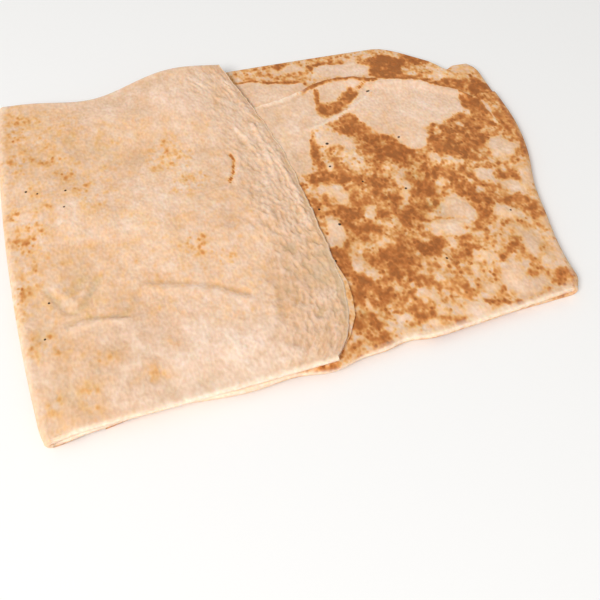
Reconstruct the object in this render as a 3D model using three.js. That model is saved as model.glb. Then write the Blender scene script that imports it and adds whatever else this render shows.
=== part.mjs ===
// A markook: one thin round sheet of baked dough, folded twice into a flat packet.
// The sheet is first folded in thirds, back third then front third, into a long strip.
// The strip's right end is then turned under it and its left end is turned over the top as a flap.
// Millimetres, +Z up. The packet is drawn from its front left corner and centred at the end.

import * as THREE from 'three';
import { mergeVertices } from 'three/addons/utils/BufferGeometryUtils.js';

// The sheet
const SHEET = 0.85; // thickness of the baked dough
const LAYER = 1.05; // one sheet and the air under it
const STRIP = 3 * LAYER; // the strip is three sheets thick

// The packet's outline, seen from above
const FRONT_WIDTH = 236; // left fold to right fold along the front
const DEPTH = 200; // front fold to back fold, at the left
const LEFT_LEAN = 2; // the left fold leans out this far towards the front
const LEFT_BOW = 4; // and bows out this far in the middle
const RIGHT_LEAN = 21; // the right fold leans out this far
const RIGHT_LEAN_FROM = 0.06; // between these shares of the depth
const RIGHT_LEAN_TO = 0.74;
const RIGHT_DIP = 1.7; // and draws in a little in the middle
const RIGHT_DIP_AT = 0.4;
const RIGHT_DIP_SPREAD = 0.1;
const BACK_SLOPE = 12; // the back fold comes forward this far towards the right
const BACK_CORNER_DROP = 24; // and this much more at the corner
const BACK_CORNER_FROM = 0.815; // between these shares of the width
const BACK_CORNER_TO = 0.985;
const FRONT_SLOPE = 4.5; // the front fold draws back this far towards the right
const LEFT_CORNER_EASE = 1; // how much the corners are rounded off
const RIGHT_CORNER_EASE = 3;
const CORNER_SHARE = 0.045; // over this share of an edge

// How far each turn of the strip bows out along the front
const UNDER_BOW = -2;
const BASE_BOW = 2.5;
const FLAP_BOW = 1;
// The base's front fold is wavy: how far each wave comes forward, its share of the width and its spread.
const BASE_FRONT_WAVES = [
  [-3.5, 0.19, 0.1],
  [-1.5, 0.425, 0.05],
  [1.6, 0.505, 0.045],
  [-1.4, 0.56, 0.05],
  [-2.4, 0.65, 0.035],
];

// The back folds come forward in one dip, which is deepest on the flap
const BACK_DIP = 4;
const FLAP_BACK_DIP = 8;
const BACK_DIP_AT = 0.175; // share of the width
const BACK_DIP_SPREAD = 0.1;

// The end turned under is an arc of the round sheet, and the front left corner sags down past it
const UNDER_RIM = 0.02; // share of the width, from the left fold, in the middle of the arc
const UNDER_RIM_SWELL = 0.07; // further from the left fold at the two ends of the arc
const CORNER_SAG = 0.9; // share of the strip's thickness
const CORNER_SAG_WIDTH = 0.06; // share of the width
const CORNER_SAG_DEPTH = 0.17; // share of the depth

// The loose rim of the top third, near the back of the base
const TOP_RIM = 0.83; // share of the depth
const TOP_RIM_PEAK = 0.05; // it reaches this much further
const TOP_RIM_PEAK_AT = 0.69; // at this share of the width
const TOP_RIM_PEAK_SPREAD = 0.09;

// The flap's loose rim, an arc of the round sheet
const FLAP_RIM = 119; // from the left fold, at its two ends
const FLAP_RIM_SWELL = 16; // further out in the middle
const FLAP_FRONT_FULLNESS = 6; // the arc's front half is fuller than its back half
const FLAP_BACK_FULLNESS = 2;
const FLAP_LIP = 3; // the flap's lowest sheet shows this far past its top sheet, near the front
const FLAP_INNER_CUT = 34; // elsewhere the two inner sheets end this far short of the rim
const FLAP_SETTLE = 30; // the top sheet comes down over this distance to lie on the base

// The air caught in the folds
const HUMP = 4.5; // the flap's back fold is puffed up this high
const HUMP_AT = 0.365; // share of the width
const HUMP_SPREAD = 0.1;
const HUMP_REACH = 0.3; // share of the depth
const BASE_SWELL = 1.4; // soft waves on the base's bare top
const FLAP_SWELL = 1.2; // soft waves on the flap's top
const FLAP_WAVES = 2.5; // waves across each of them
const BASE_WAVES = 3.5;

const DOUGH = new THREE.Color('#dcb08a');
const DOUGH_ROUGHNESS = 0.85;

const { lerp, smoothstep } = THREE.MathUtils;

// The sheet's stretches, in order, with the number of grid cells in each. The three thirds of the sheet
// share one set of rows, so that their folds nest, and the two outer thirds end some rows early.
const ROWS = 14;
const TUCKED_ROWS = 12;
const TOP_ROWS = 12;
const ALONG = [
  { name: 'under', cells: 8 },
  { name: 'right fold', cells: 5 },
  { name: 'base', cells: 22 },
  { name: 'left fold', cells: 6 },
  { name: 'flap', cells: 12 },
];
const ACROSS = [
  { name: 'tucked third', cells: TUCKED_ROWS },
  { name: 'back fold', cells: 3 },
  { name: 'middle third', cells: ROWS },
  { name: 'front fold', cells: 4 },
  { name: 'top third', cells: TOP_ROWS },
];
const GATHER = 0.35; // how much the grid lines gather towards the ends of a flat stretch

function cellsIn(stretches) {
  return stretches.reduce((sum, stretch) => sum + stretch.cells, 0);
}

// The stretch that holds a grid line, and how far through the stretch the line is.
function placeIn(stretches, share) {
  let line = Math.round(share * cellsIn(stretches));
  for (const { name, cells } of stretches) {
    if (line <= cells) return { name, t: line / cells };
    line -= cells;
  }
}

function gathered(t) {
  return t - (GATHER * Math.sin(2 * Math.PI * t)) / (2 * Math.PI);
}

function bell(x, middle, spread) {
  return Math.exp(-(((x - middle) / spread) ** 2));
}

function corner(share) {
  const near = Math.min(share, 1 - share) / CORNER_SHARE;
  return Math.max(0, 1 - near) ** 2;
}

// Outline: p runs from the left fold to the right one, q from the front fold to the back one.
function leftEdge(q) {
  return LEFT_CORNER_EASE * corner(q) - LEFT_LEAN * (1 - q) - LEFT_BOW * Math.sin(Math.PI * q);
}

function rightEdge(q) {
  const lean = RIGHT_LEAN * smoothstep(q, RIGHT_LEAN_FROM, RIGHT_LEAN_TO);
  const dip = RIGHT_DIP * bell(q, RIGHT_DIP_AT, RIGHT_DIP_SPREAD);
  return FRONT_WIDTH + lean - dip - RIGHT_CORNER_EASE * corner(q);
}

function frontEdge(p, turn) {
  const bow = { under: UNDER_BOW, flap: FLAP_BOW }[turn] ?? BASE_BOW;
  let front = FRONT_SLOPE * p ** 2 - bow * Math.sin(Math.PI * p);
  if (turn === 'base') {
    for (const [forward, place, spread] of BASE_FRONT_WAVES) {
      front -= forward * bell(p, place, spread);
    }
  }
  return front;
}

function backEdge(p, turn) {
  const drop = BACK_CORNER_DROP * smoothstep(p, BACK_CORNER_FROM, BACK_CORNER_TO);
  const dip = turn === 'flap' ? FLAP_BACK_DIP : BACK_DIP;
  return DEPTH - BACK_SLOPE * p ** 2 - drop - dip * bell(p, BACK_DIP_AT, BACK_DIP_SPREAD);
}

// The last rows of the top third close up or spread out to end on its rim.
function topRow(q, p) {
  const rim = TOP_RIM + TOP_RIM_PEAK * bell(p, TOP_RIM_PEAK_AT, TOP_RIM_PEAK_SPREAD);
  const lastRow = gathered(TOP_ROWS / ROWS);
  return q + (rim - lastRow) * smoothstep(q, 0.6, lastRow);
}

// Where the flap ends, as a share of the width.
function flapRim(q, third) {
  const fullness = q < 0.5 ? FLAP_FRONT_FULLNESS : FLAP_BACK_FULLNESS;
  let rim = FLAP_RIM + FLAP_RIM_SWELL * (1 - Math.abs(2 * q - 1) ** fullness);
  if (third === 'top third') {
    rim += FLAP_LIP * (smoothstep(q, 0, 0.1) - smoothstep(q, 0.1, 0.3));
    rim -= FLAP_INNER_CUT * smoothstep(q, 0.25, 0.6);
  }
  if (third === 'tucked third') {
    rim -= FLAP_INNER_CUT * (1 - smoothstep(q, 0.85, 1));
  }
  return (rim - leftEdge(q) - STRIP) / (rightEdge(q) - leftEdge(q) - 2 * STRIP);
}

// Where the end turned under stops, as a share of the width.
function underRim(q) {
  return UNDER_RIM + UNDER_RIM_SWELL * (2 * q - 1) ** 2;
}

// How far the packet comes down at its front left corner, where nothing is turned under it.
function cornerSag(p, q) {
  const bare = 1 - smoothstep(q, 0, CORNER_SAG_DEPTH);
  return CORNER_SAG * STRIP * bare * (1 - smoothstep(p, 0, CORNER_SAG_WIDTH));
}

// First fold: a place across the sheet becomes a share of the depth q, a step past it and a height
// in the strip. Out is the distance from the sheet's middle towards its outer face.
function foldAcross({ name, t }, out) {
  const angle = Math.PI * t;
  if (name === 'tucked third') {
    return { q: gathered(1 - ((1 - t) * TUCKED_ROWS) / ROWS), step: 0, height: 1.5 * LAYER + out };
  }
  if (name === 'middle third') {
    return { q: gathered(1 - t), step: 0, height: 0.5 * LAYER - out };
  }
  if (name === 'top third') {
    return { q: gathered((t * TOP_ROWS) / ROWS), step: 0, height: 2.5 * LAYER + out };
  }
  if (name === 'back fold') {
    const radius = 0.5 * LAYER + out;
    return { q: 1, step: radius * Math.sin(angle), height: LAYER + radius * Math.cos(angle) };
  }
  const radius = LAYER + out;
  return { q: 0, step: -radius * Math.sin(angle), height: 1.5 * LAYER - radius * Math.cos(angle) };
}

// Second fold: a place along the strip becomes a share of the width p, a step past it and a height.
function foldAlong({ name, t }, height, q, rim) {
  const angle = Math.PI * t;
  const flat = gathered(t);
  if (name === 'under') return { p: lerp(underRim(q), 1, flat), step: 0, z: STRIP - height };
  if (name === 'base') return { p: 1 - flat, step: 0, z: STRIP + height };
  if (name === 'flap') return { p: rim * flat, step: 0, z: 3 * STRIP - height };
  if (name === 'right fold') {
    return { p: 1, step: height * Math.sin(angle), z: STRIP - height * Math.cos(angle) };
  }
  const radius = STRIP - height;
  return { p: 0, step: -radius * Math.sin(angle), z: 2 * STRIP - radius * Math.cos(angle) };
}

function wave(share, count) {
  return 0.5 - 0.5 * Math.cos(2 * Math.PI * count * share);
}

// How far the air under the two bare top sheets lifts them, and the flap's rim settles.
function lift(turn, third, p, q, rim) {
  if (turn === 'base' && third === 'top third') {
    const bare = smoothstep(p, 0.64, 0.74) * (1 - smoothstep(p, 0.9, 1));
    const inside = smoothstep(q, 0, 0.15) * (1 - smoothstep(q, 0.6, 0.78));
    return BASE_SWELL * bare * inside * wave(p + 0.3 * q, BASE_WAVES);
  }
  if (turn !== 'flap' || third === 'top third') return 0;
  const hump = HUMP * bell(p, HUMP_AT, HUMP_SPREAD) * smoothstep(p, 0, 0.15);
  const puff = hump * smoothstep(q, 1 - HUMP_REACH, 1);
  if (third === 'back fold') return puff;
  if (third === 'tucked third') return puff * smoothstep(q, 0.9, 1);
  if (third === 'front fold') return 0;
  const inside = smoothstep(q, 0, 0.12) * (1 - smoothstep(q, 0.85, 1));
  const swell = FLAP_SWELL * inside * smoothstep(p, 0, 0.12) * wave(q + 0.4 * p, FLAP_WAVES);
  const toRim = (rim - p) * FRONT_WIDTH;
  const settled = (1 - smoothstep(toRim, 0, FLAP_SETTLE)) * inside;
  return lerp(swell, -LAYER * (1 + smoothstep(q, 0.3, 0.6)), settled) + puff;
}

function foldedPoint(along, across, out) {
  const third = across.name;
  const first = foldAcross(across, out);
  const rim = flapRim(first.q, third);
  const second = foldAlong(along, first.height, first.q, rim);
  const { p } = second;
  const q = third === 'top third' ? topRow(first.q, p) : first.q;
  const left = leftEdge(q) + STRIP;
  const right = rightEdge(q) - STRIP;
  const front = frontEdge(p, along.name) + 1.5 * LAYER;
  const back = backEdge(p, along.name) - LAYER;
  const x = lerp(left, right, p) + second.step;
  const y = lerp(front, back, q) + first.step;
  const sag = along.name === 'under' ? 0 : cornerSag(p, q);
  return [x, y, second.z + lift(along.name, third, p, q, rim) - sag];
}

// A thin box with a fine grid is the flat sheet. Every corner of the grid is carried to its folded place,
// and the box's lower face becomes the outer face of the packet.
function foldedSheet() {
  const flat = new THREE.BoxGeometry(1, 1, 1, cellsIn(ALONG), cellsIn(ACROSS), 1);
  flat.deleteAttribute('normal');
  flat.deleteAttribute('uv');
  const sheet = mergeVertices(flat);
  const points = sheet.attributes.position;
  for (let i = 0; i < points.count; i += 1) {
    const along = placeIn(ALONG, points.getX(i) + 0.5);
    const across = placeIn(ACROSS, points.getY(i) + 0.5);
    points.setXYZ(i, ...foldedPoint(along, across, -points.getZ(i) * SHEET));
  }
  sheet.computeBoundingBox();
  const middle = sheet.boundingBox.getCenter(new THREE.Vector3());
  sheet.translate(-middle.x, -middle.y, -sheet.boundingBox.min.z);
  sheet.computeVertexNormals();
  return sheet;
}

const bread = new THREE.Mesh(
  foldedSheet(),
  new THREE.MeshStandardMaterial({ color: DOUGH, roughness: DOUGH_ROUGHNESS, metalness: 0 }),
);
bread.name = 'bread';

const markook = new THREE.Group();
markook.add(bread);

export default markook;
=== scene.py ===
# %% [markdown]
# A folded markook
#
# Markook is a round of dough, stretched by hand until it is as thin as card and baked for a minute
# on a hot iron dome. It comes off as a limp sheet about 60 cm across, and is folded into a packet
# while it is soft. This lesson makes one packet. A flat grid is folded as the baker folds the
# bread, its skin is wrinkled and blistered, and then it is browned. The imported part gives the
# frame, and the box that the bread has to fill.

# %% Load the frame
import math
from collections import namedtuple

import bmesh
import bpy
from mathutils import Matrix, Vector, noise


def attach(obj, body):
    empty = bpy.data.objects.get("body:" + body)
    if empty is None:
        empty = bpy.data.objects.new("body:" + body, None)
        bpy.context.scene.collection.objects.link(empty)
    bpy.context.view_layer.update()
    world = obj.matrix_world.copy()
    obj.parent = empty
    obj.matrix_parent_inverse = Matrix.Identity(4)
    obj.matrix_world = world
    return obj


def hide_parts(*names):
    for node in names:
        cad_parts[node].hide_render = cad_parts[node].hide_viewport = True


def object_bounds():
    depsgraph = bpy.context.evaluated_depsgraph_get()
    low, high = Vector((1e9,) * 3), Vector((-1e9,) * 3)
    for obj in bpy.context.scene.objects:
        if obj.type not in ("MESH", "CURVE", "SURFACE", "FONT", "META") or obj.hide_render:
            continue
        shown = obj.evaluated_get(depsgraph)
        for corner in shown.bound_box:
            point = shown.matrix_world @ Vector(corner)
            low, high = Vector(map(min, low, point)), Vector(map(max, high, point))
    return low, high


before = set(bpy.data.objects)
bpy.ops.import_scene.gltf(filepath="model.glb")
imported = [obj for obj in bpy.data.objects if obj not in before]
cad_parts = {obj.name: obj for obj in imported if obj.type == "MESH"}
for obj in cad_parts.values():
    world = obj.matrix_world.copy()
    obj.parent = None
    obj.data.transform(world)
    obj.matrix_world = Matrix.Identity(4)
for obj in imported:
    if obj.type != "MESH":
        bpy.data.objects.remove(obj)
cad_low, cad_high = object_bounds()
MM = 0.001  # sizes below are in millimetres, and Blender's are in metres
print("solid from", tuple(cad_low), "to", tuple(cad_high))

# %% [markdown]
# The outline of the packet
#
# A folded sheet is easiest to think of as a map. Each point lies at a share p of the width, from
# the left fold to the right one, and at a share q of the depth, from the front fold to the back
# one. A drawn outline would do for one layer, but there are nine. So the four edges are functions
# of these shares, and one set of sizes shapes every layer. The same sizes shaped the solid, and
# the two agree.

# %% Sheet, strip and packet
SHEET = 0.85  # thickness of the baked dough
LAYER = 1.05  # one sheet and the air under it
STRIP = 3 * LAYER  # folded in thirds, the sheet is a strip of three layers
FRONT_WIDTH = 236  # the packet's front fold
DEPTH = 200  # from its front to its back
print("nine layers are", round(3 * STRIP, 1), "mm thick")


# %% Soft steps and bells
def soft_step(x, low, high):
    """0 below low, 1 above high and a smooth rise between them."""
    t = min(1.0, max(0.0, (x - low) / (high - low)))
    return t * t * (3.0 - 2.0 * t)


def plateau(x, start, full, fade, end):
    """A smooth rise from start to full, and a smooth fall from fade to end."""
    return soft_step(x, start, full) * (1 - soft_step(x, fade, end))


def bell(x, middle, spread):
    return math.exp(-(((x - middle) / spread) ** 2))


def mix(a, b, t):
    return a + (b - a) * t


print("a third of the way along, a soft step is", round(soft_step(1 / 3, 0, 1), 2), "high")

# %% Left and right edges
LEFT_LEAN = 2  # the left fold leans out towards the front, and bows out in the middle
LEFT_BOW = 4
RIGHT_LEAN = 21  # the right fold leans out towards the back, between these shares of the depth
RIGHT_LEAN_SPAN = (0.06, 0.74)
RIGHT_DIP = 1.7  # and draws in a little
RIGHT_DIP_PLACE = (0.4, 0.1)  # the share of the depth where it does, and the spread
LEFT_CORNER_EASE = 1  # how much the corners are rounded off, over this share of an edge
RIGHT_CORNER_EASE = 3
CORNER_SHARE = 0.045


def corner(share):
    """1 at both ends of an edge, and 0 a little further in."""
    near = min(share, 1 - share) / CORNER_SHARE
    return max(0.0, 1 - near) ** 2


def left_edge(q):
    return LEFT_CORNER_EASE * corner(q) - LEFT_LEAN * (1 - q) - LEFT_BOW * math.sin(math.pi * q)


def right_edge(q):
    lean = RIGHT_LEAN * soft_step(q, *RIGHT_LEAN_SPAN) - RIGHT_DIP * bell(q, *RIGHT_DIP_PLACE)
    return FRONT_WIDTH + lean - RIGHT_CORNER_EASE * corner(q)


print("front", FRONT_WIDTH, "mm, widest", round(right_edge(0.8) - left_edge(0.8)), "mm")

# %% Front edge
FRONT_SLOPE = 4.5  # the front fold draws back towards the right
FRONT_BOW = {"under": -2, "flap": 1}  # how far these turns of the strip bow out in front
BASE_BOW = 2.5
# The base's front fold is wavy, and so is the one under it. A wave is how far it comes forward,
# the share of the width where it is, and its spread.
FRONT_WAVES = [
    (-3.5, 0.19, 0.1),
    (-1.5, 0.425, 0.05),
    (1.6, 0.505, 0.045),
    (-1.4, 0.56, 0.05),
    (-2.4, 0.65, 0.035),
]


def front_edge(p, turn):
    front = FRONT_SLOPE * p**2 - FRONT_BOW.get(turn, BASE_BOW) * math.sin(math.pi * p)
    if turn in ("base", "under"):
        front -= sum(forward * bell(p, place, spread) for forward, place, spread in FRONT_WAVES)
    return front


print(len(FRONT_WAVES), "waves in the front fold")

# %% Back edge
BACK_SLOPE = 12  # the back fold comes forward towards the right
BACK_CORNER_DROP = 24  # and more at the corner, between these shares of the width
BACK_CORNER_SPAN = (0.815, 0.985)
BACK_DIP = 4  # it comes forward in one dip, which is deeper on the flap
FLAP_BACK_DIP = 8
BACK_DIP_PLACE = (0.175, 0.1)  # the share of the width where it is, and its spread
BACK_NICK = 5  # and in a small nick near the corner, which the flap doesn't reach
BACK_NICK_PLACE = (0.95, 0.014)


def back_edge(p, turn):
    dip = FLAP_BACK_DIP if turn == "flap" else BACK_DIP
    drop = BACK_CORNER_DROP * soft_step(p, *BACK_CORNER_SPAN) + dip * bell(p, *BACK_DIP_PLACE)
    return DEPTH - BACK_SLOPE * p**2 - drop - BACK_NICK * bell(p, *BACK_NICK_PLACE)


print("depth", round(back_edge(0, "base")), "mm left,", round(back_edge(1, "base")), "mm right")

# %% [markdown]
# The loose rims
#
# Three rims of the round sheet are loose: the flap's, which is the most visible line of the bread,
# the top third's, near the back of the base, and that of the end turned under. A thin edge of
# dough is never a clean curve. It could be cut ragged with the knife tool, but a little noise
# along each rim does the same in one line. The noise is Blender's own and gives the same rim each
# time.

# %% Ragged edges, and the two plain rims
RAGGED = 0.7  # how far a rim strays, in millimetres
RAG_LENGTH = 7  # the length of one ragged bite
ROUGH_NOISE = (0.8, 2.0, 3)  # how fast its finer layers weaken, their steps and their number
UNDER_RIM = (0.02, 0.07)  # share of the width at the arc's middle, and how much more at its ends
TUCKED_RIM = 0.1  # share of the depth
TOP_RIM = 0.83  # share of the depth, with a peak further right
TOP_RIM_PEAK = (0.05, 0.69, 0.09)  # height, and the share of the width where it is and its spread


def ragged(along, seed):
    """How far a rim strays at this distance along it."""
    return RAGGED * noise.fractal((along / RAG_LENGTH, seed, 0.5), *ROUGH_NOISE)


def under_rim(q):
    return UNDER_RIM[0] + UNDER_RIM[1] * (2 * q - 1) ** 2


def top_rim(p):
    height, middle, spread = TOP_RIM_PEAK
    return TOP_RIM + height * bell(p, middle, spread) + ragged(p * FRONT_WIDTH, seed=3.1) / DEPTH


print("top third ends", round(top_rim(0.5) * DEPTH), "mm from the front fold")

# %% The flap's rim
FLAP_RIM = 119  # millimetres from the left fold, at the rim's two ends
FLAP_RIM_SWELL = 16  # further out in the middle
FLAP_FULLNESS = (6, 2)  # the arc's front half is fuller than its back half
FLAP_LIP = 3  # the flap's lowest sheet shows past the top one, at these shares of the depth
FLAP_LIP_SPAN = (0, 0.1, 0.1, 0.3)
FLAP_INNER_CUT = 34  # elsewhere its two inner sheets end this far short
TOP_CUT_SPAN = (0.25, 0.6)  # the lowest one does so behind these shares of the depth
TUCKED_CUT_SPAN = (0.85, 1)  # and the one between in front of these


def flap_rim(q, third):
    """Where the flap ends, as a share of the width."""
    rim = FLAP_RIM + FLAP_RIM_SWELL * (1 - abs(2 * q - 1) ** FLAP_FULLNESS[q > 0.5])
    if third == "top third":
        rim += FLAP_LIP * plateau(q, *FLAP_LIP_SPAN)
        rim -= FLAP_INNER_CUT * soft_step(q, *TOP_CUT_SPAN)
    if third == "tucked third":
        rim -= FLAP_INNER_CUT * (1 - soft_step(q, *TUCKED_CUT_SPAN))
    rim += ragged(q * DEPTH, seed=7.7)
    return (rim - left_edge(q) - STRIP) / (right_edge(q) - left_edge(q) - 2 * STRIP)


print("flap reaches", round(FLAP_RIM + FLAP_RIM_SWELL), "mm from the left fold")

# %% [markdown]
# The two folds
#
# The baker folds twice. The first fold lays the back third and then the front third over the
# middle, which makes a strip of three sheets. The second turns the strip's right end under it and
# brings its left end over the top. A bend modifier or an armature would stretch so tight a bend,
# so each fold is written as what it is: a flat stretch, half a turn round a small radius, and the
# next stretch on top. "Out" is the distance from the middle of the sheet towards the face that
# ends up outside.


# %% First fold, in thirds
def fold_across(third, t, out):
    """The share of the depth, the step past it and the height in the strip."""
    angle = math.pi * t
    if third == "tucked third":
        return mix(TUCKED_RIM, 1, t), 0, 1.5 * LAYER + out
    if third == "back fold":
        radius = 0.5 * LAYER + out
        return 1, radius * math.sin(angle), LAYER + radius * math.cos(angle)
    if third == "middle third":
        return 1 - t, 0, 0.5 * LAYER - out
    if third == "front fold":
        radius = LAYER + out
        return 0, -radius * math.sin(angle), 1.5 * LAYER - radius * math.cos(angle)
    return t * TOP_RIM, 0, 2.5 * LAYER + out


print("strip", round(fold_across("top third", 0.5, SHEET / 2)[2], 2), "mm thick")

# %% Second fold, one end under and the other over the top
GATHER = 0.6  # grid lines on the flap crowd towards its wrinkled rim


def fold_along(turn, t, height, q, rim):
    """The share of the width, the step past it and the height over the table."""
    angle = math.pi * t
    if turn == "under":
        return mix(under_rim(q), 1, t), 0, STRIP - height
    if turn == "right fold":
        return 1, height * math.sin(angle), STRIP - height * math.cos(angle)
    if turn == "base":
        return 1 - t, 0, STRIP + height
    if turn == "left fold":
        radius = STRIP - height
        return 0, -radius * math.sin(angle), 2 * STRIP - radius * math.cos(angle)
    return rim * mix(t, 1 - (1 - t) ** 2, GATHER), 0, 3 * STRIP - height


print("left fold bulges", round(-fold_along("left fold", 0.5, 0, 0.5, 1)[1], 1), "mm")

# %% [markdown]
# Air in the packet
#
# Soft bread doesn't lie flat: air puffs up the flap at the back, the top sheets swell between the
# places where they stick, and the flap's rim settles on the base. A cloth simulation would find
# such shapes by itself, but not these ones, so the lift is a sum of soft waves and bells. The
# front left corner sags, because nothing is turned under it.

# %% The base's bare top
BASE_SWELL = 1.4  # height of the soft waves, and the shares that they cover
BASE_SWELL_WIDTH = (0.64, 0.74, 0.9, 1)
BASE_SWELL_DEPTH = (0, 0.15, 0.6, 0.78)
BASE_WAVES, BASE_WAVE_SLANT = 3.5, 0.3  # how many there are, and how far they slant
RIM_CURL = 1.6  # the top third's rim curls up where it is bare, over the last of the depth
RIM_CURL_WIDTH = (0.55, 0.7, 0.93, 1)
RIM_CURL_REACH = 0.05


def wave(share, count):
    return 0.5 - 0.5 * math.cos(2 * math.pi * count * share)


def base_lift(p, q):
    swell = plateau(p, *BASE_SWELL_WIDTH) * plateau(q, *BASE_SWELL_DEPTH)
    curl = plateau(p, *RIM_CURL_WIDTH) * soft_step(q, top_rim(p) - RIM_CURL_REACH, top_rim(p))
    return BASE_SWELL * swell * wave(p + BASE_WAVE_SLANT * q, BASE_WAVES) + RIM_CURL * curl


print("the rim curls up by", round(base_lift(0.8, top_rim(0.8)), 1), "mm")

# %% The flap's top
FLAP_SWELL = 1.2  # height of the soft waves, and the shares that they cover
FLAP_SWELL_START = (0, 0.12)
FLAP_SWELL_DEPTH = (0, 0.12, 0.85, 1)
FLAP_WAVES, FLAP_WAVE_SLANT = 2.5, 0.4
FLAP_SETTLE = 30  # the top sheet comes down over this distance, past the two sheets cut short
FLAP_SETTLE_TWICE = (0.3, 0.6)  # by one sheet in front of these shares of the depth, else by two
FLAP_CLING = 0.12  # and its rim clings to what is under it, closing most of the gap
HUMP = (4.5, 0.365, 0.1)  # air puffs up the back fold: height, place and spread
HUMP_START = (0, 0.15)  # it rises over these shares of the width, from the left fold on
HUMP_REACH = 0.3  # share of the depth
HUMP_INSIDE = (0.9, 1)  # the sheet inside the flap is lifted only close to the fold


def flap_lift(third, p, q, rim):
    height, middle, spread = HUMP
    puff = height * bell(p, middle, spread) * soft_step(p, *HUMP_START)
    puff *= soft_step(q, 1 - HUMP_REACH, 1)
    if third == "back fold":
        return puff
    if third == "tucked third":
        return puff * soft_step(q, *HUMP_INSIDE)
    inside = plateau(q, *FLAP_SWELL_DEPTH)
    swell = FLAP_SWELL * inside * soft_step(p, *FLAP_SWELL_START)
    swell *= wave(q + FLAP_WAVE_SLANT * p, FLAP_WAVES)
    settled = (1 - soft_step((rim - p) * FRONT_WIDTH, 0, FLAP_SETTLE)) * inside
    down = LAYER * (1 + soft_step(q, *FLAP_SETTLE_TWICE)) + FLAP_CLING
    return mix(swell, -down, settled) + puff


print("flap puffed up", round(flap_lift("back fold", HUMP[1], 1, 0.5), 1), "mm at the back")

# %% The sagging corner, and the whole fold
CORNER_SAG = (0.9, 0.06, 0.17)  # share of the strip's thickness, and of the width and depth
Spot = namedtuple("Spot", "turn along third across p q rim x y z")


def lift(turn, third, p, q, rim):
    """How far caught air lifts the bare top sheets, and how the flap's rim settles."""
    if turn == "base" and third == "top third":
        return base_lift(p, q)
    if turn == "flap" and third not in ("top third", "front fold"):
        return flap_lift(third, p, q, rim)
    return 0


def sag(turn, p, q):
    """How far the front left corner comes down."""
    if turn == "under":
        return 0
    share, width, depth = CORNER_SAG
    return share * STRIP * (1 - soft_step(q, 0, depth)) * (1 - soft_step(p, 0, width))


def folded(turn, along, third, across, out):
    """The spot of a place on the sheet, in millimetres from the packet's front left corner."""
    q, past, height = fold_across(third, across, out)
    rim = flap_rim(q, third)
    p, aside, z = fold_along(turn, along, height, q, rim)
    if third == "top third":
        q = across * top_rim(p)
    x = mix(left_edge(q) + STRIP, right_edge(q) - STRIP, p) + aside
    y = mix(front_edge(p, turn) + 1.5 * LAYER, back_edge(p, turn) - LAYER, q) + past
    z += lift(turn, third, p, q, rim) - sag(turn, p, q)
    return Spot(turn, along, third, across, p, q, rim, x, y, z)


print("top of the base", round(folded("base", 0.3, "top third", 0.5, SHEET / 2).z, 2), "mm")

# %% [markdown]
# The flat sheet
#
# The sheet starts as one grid. Every vertex remembers its grid lines along and across the sheet in
# two float layers, because these, and not its position, say where it goes when the sheet is
# folded. A Solidify modifier could give the thickness after folding, but it would thicken the
# tight folds into each other. Extruding the flat grid and keeping the original gives the second
# face and the thin wall round the rim in one step, so the bread is a closed solid from the start.
# "Cells" sets the mesh, and "share" is the stretch's share of the UV map.

# %% Make the grid and its second face
Stretch = namedtuple("Stretch", "name cells share")
ALONG = [
    Stretch("under", 20, 0.12),
    Stretch("right fold", 6, 0.03),
    Stretch("base", 28, 0.50),
    Stretch("left fold", 8, 0.03),
    Stretch("flap", 16, 0.32),
]
ACROSS = [
    Stretch("tucked third", 18, 0.16),
    Stretch("back fold", 4, 0.02),
    Stretch("middle third", 22, 0.39),
    Stretch("front fold", 6, 0.03),
    Stretch("top third", 18, 0.40),
]
LAST_ALONG = sum(stretch.cells for stretch in ALONG)
LAST_ACROSS = sum(stretch.cells for stretch in ACROSS)

sheet = bmesh.new()
line_along = sheet.verts.layers.float.new("line_along")
line_across = sheet.verts.layers.float.new("line_across")
out_from_middle = sheet.verts.layers.float.new("out_from_middle")
bmesh.ops.create_grid(sheet, x_segments=LAST_ALONG, y_segments=LAST_ACROSS, size=0.5)
for vert in sheet.verts:
    vert[line_along] = round((vert.co.x + 0.5) * LAST_ALONG)
    vert[line_across] = round((vert.co.y + 0.5) * LAST_ACROSS)
    vert[out_from_middle] = SHEET / 2
second = bmesh.ops.extrude_face_region(sheet, geom=sheet.faces[:], use_keep_orig=True)
for item in second["geom"]:
    if isinstance(item, bmesh.types.BMVert):
        item[out_from_middle] = -SHEET / 2
        item.co.z = -SHEET / 2
print("flat sheet:", len(sheet.verts), "vertices,", len(sheet.faces), "faces")

# %% [markdown]
# Fine faces where the bread shows
#
# Wrinkles a few millimetres wide need faces of about a millimetre, but only on the faces that
# show: the flap's top, the base beside it, the strip behind it and the folds. A subdivision
# modifier would cut all nine layers into a million faces that nobody sees, so only chosen edges
# are cut. On a flat stretch these are all four edges of a face. On a fold they are those that run
# along it, because a fold is narrow and already has enough faces round its bend. Where the back
# fold has its narrow nick, the inner faces are cut as well, so that they follow it.

# %% Which faces show
HIDDEN_BY_FLAP = 0.38  # share of the width
HIDDEN_BY_TOP = 0.72  # share of the tucked third


def place_on(stretches, line):
    """The stretch that holds a grid line, and how far through the stretch the line is."""
    for stretch in stretches:
        if line <= stretch.cells:
            return stretch.name, line / stretch.cells
        line -= stretch.cells
    return stretches[-1].name, 1.0


def shows(turn, along, third, across):
    """Whether the outer face shows on this flat stretch of the packet's top."""
    if turn == "flap":
        return third == "middle third"
    if turn != "base" or 1 - along < HIDDEN_BY_FLAP:
        return False
    return third == "top third" or third == "tucked third" and across > HIDDEN_BY_TOP


def middle_of(verts):
    """Where the middle of some vertices lies on the sheet."""
    turn, along = place_on(ALONG, sum(vert[line_along] for vert in verts) / len(verts))
    third, across = place_on(ACROSS, sum(vert[line_across] for vert in verts) / len(verts))
    return turn, along, third, across


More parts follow.
